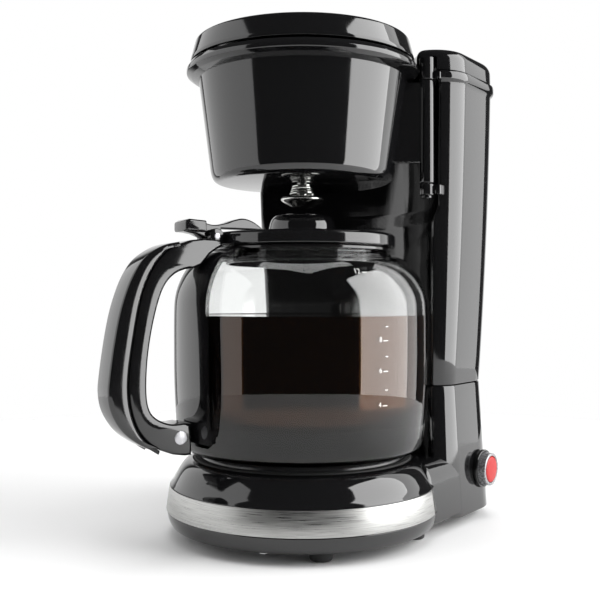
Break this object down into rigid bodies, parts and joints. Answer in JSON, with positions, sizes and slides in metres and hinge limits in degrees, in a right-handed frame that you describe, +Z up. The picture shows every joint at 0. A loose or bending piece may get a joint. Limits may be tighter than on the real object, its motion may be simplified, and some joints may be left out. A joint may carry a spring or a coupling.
{
  "type": "drip coffee maker",
  "caption": "Drip coffee maker with a glass jug on a round heated base, a swing-out filter basket and a water tower behind, in gloss black with a steel band.",
  "frame": {"origin": "middle of the bounding box's footprint, on the surface the feet stand on", "axes": "+Z up; the front, with the jug, faces -Y; the water tower is at +Y and the switch is on the +X side"},
  "size_m": [0.1674, 0.259, 0.302],
  "materials": {
    "gloss_black": "polished",
    "brushed_band": "brushed round the drum",
    "enamel": "semi-gloss enamel",
    "rubber": "matt",
    "aluminium": "as drawn",
    "zinc": "zinc plated",
    "silicone": "matt, translucent white",
    "white_plastic": "matt",
    "tank_plastic": "clear, slightly smoked",
    "brushed_steel": "bright",
    "glass": "clear",
    "silver_plastic": "silver",
    "red_plastic": "polished, translucent"
  },
  "bodies": {
    "machine": {"base_housing": "gloss_black", "base_band": "brushed_band", "bottom_cover": "gloss_black", "bottom_screw_1": "zinc", "bottom_screw_2": "zinc", "bottom_screw_3": "zinc", "bottom_screw_4": "zinc", "foot_1": "rubber", "foot_2": "rubber", "foot_3": "rubber", "foot_4": "rubber", "foot_5": "rubber", "foot_6": "rubber", "warming_plate": "enamel", "plate_seal": "rubber", "heater_rod": "aluminium", "heater_tube": "aluminium", "heater_clamp": "zinc", "thermostat": "zinc", "thermal_fuse": "zinc", "inlet_hose": "silicone", "riser_tube": "silicone", "check_valve": "white_plastic", "tower_housing": "gloss_black", "hinge_pin": "gloss_black", "reservoir_tank": "tank_plastic", "water_channel": "gloss_black", "top_cover": "gloss_black", "switch_bezel": "gloss_black", "cord_gland": "gloss_black", "button_spring": "zinc"},
    "tank_lid": {"reservoir_lid": "gloss_black", "lid_hinge_pin": "zinc"},
    "basket": {"basket_holder": "gloss_black", "filter_basket": "gloss_black", "drip_spring": "brushed_steel"},
    "drip_stop": {"drip_valve": "brushed_steel", "valve_seal": "silicone"},
    "jug": {"carafe_glass": "glass", "carafe_collar": "gloss_black", "handle_plate": "gloss_black", "handle_body": "gloss_black", "handle_grip": "gloss_black", "handle_screw": "zinc", "lid_pin": "zinc"},
    "jug_lid": {"carafe_lid": "gloss_black", "lid_lever": "gloss_black"},
    "power_switch": {"power_button": "silver_plastic", "button_lens": "red_plastic"}
  },
  "joints": [
    {"name": "basket_swing", "type": "hinge", "parent": "machine", "child": "basket", "pos_m": [0.06389, 0.0351, 0.245], "axis": [0, 0, 1], "range_deg": [0, 100]},
    {"name": "tank_lid_hinge", "type": "hinge", "parent": "machine", "child": "tank_lid", "pos_m": [-0.00011, 0.1271, 0.29], "axis": [-1, 0, 0], "range_deg": [0, 95]},
    {"name": "jug_slide", "type": "slide", "parent": "machine", "child": "jug", "axis": [0, -1, 0], "range_m": [0, 0.2]},
    {"name": "jug_lid_hinge", "type": "hinge", "parent": "jug", "child": "jug_lid", "pos_m": [-0.0239, -0.06577, 0.1785], "axis": [0.9272, -0.3746, 0], "range_deg": [0, 3]},
    {"name": "valve_slide", "type": "slide", "parent": "basket", "child": "drip_stop", "axis": [0, 0, 1], "range_m": [0, 0.0035], "stiffness_N_per_m": 300, "springref_m": -0.004, "deforming": ["drip_spring"]},
    {"name": "button_press", "type": "slide", "parent": "machine", "child": "power_switch", "axis": [-1, 0, 0], "range_m": [0, 0.0025], "stiffness_N_per_m": 400, "springref_m": -0.001, "deforming": ["button_spring"]}
  ]
}
